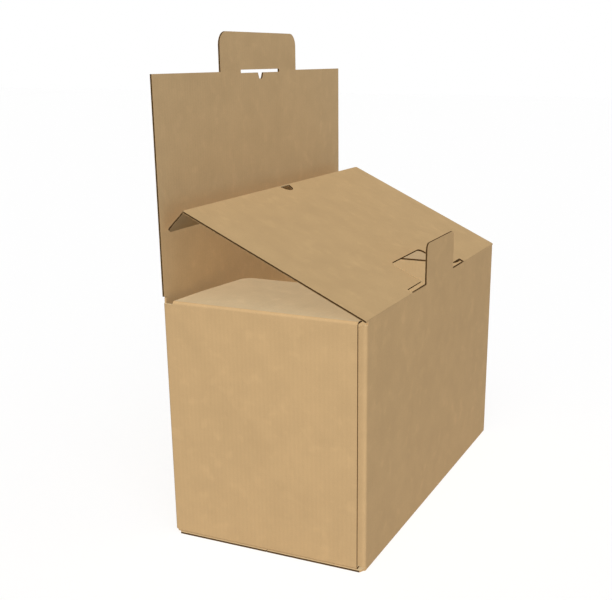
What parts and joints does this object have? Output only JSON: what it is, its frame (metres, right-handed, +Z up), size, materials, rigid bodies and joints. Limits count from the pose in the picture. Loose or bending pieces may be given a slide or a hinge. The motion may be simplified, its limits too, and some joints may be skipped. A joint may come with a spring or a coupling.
{
  "type": "corrugated cardboard carton with inner and outer lid",
  "caption": "Plain brown corrugated carton with a raised inner lid, a tuck flap, a front tab and a tall outer lid that ends in a lock tab.",
  "frame": {"origin": "middle of the footprint, on the surface that the carton stands on", "axes": "+Z up, +Y from the front panel to the back panel that carries the outer lid, +X along the front panel"},
  "size_m": [0.299, 0.155, 0.3624],
  "materials": {
    "kraft_board": "matte"
  },
  "bodies": {
    "carton": {"carton_body": "kraft_board"},
    "inner_lid": {"inner_lid": "kraft_board"},
    "tuck_flap": {"tuck_flap": "kraft_board"},
    "outer_lid": {"outer_lid": "kraft_board"},
    "lock_tab": {"lock_tab": "kraft_board"}
  },
  "joints": [
    {"name": "inner_lid_crease", "type": "hinge", "parent": "carton", "child": "inner_lid", "pos_m": [0, -0.0765, 0.182], "axis": [1, 0, 0], "range_deg": [-24.9, 70]},
    {"name": "tuck_crease", "type": "hinge", "parent": "inner_lid", "child": "tuck_flap", "pos_m": [0, 0.05774, 0.24431], "axis": [1, 0, 0], "range_deg": [-31.2, 87.6]},
    {"name": "outer_lid_crease", "type": "hinge", "parent": "carton", "child": "outer_lid", "pos_m": [0, 0.0765, 0.1838], "axis": [-1, 0, 0], "range_deg": [0, 90]},
    {"name": "lock_tab_crease", "type": "hinge", "parent": "outer_lid", "child": "lock_tab", "pos_m": [0, 0.0765, 0.3338], "axis": [1, 0, 0], "range_deg": [0, 100]}
  ],
  "couplings": [
    {"joint": "tuck_crease", "follows": "inner_lid_crease", "ratio": 1.25}
  ]
}
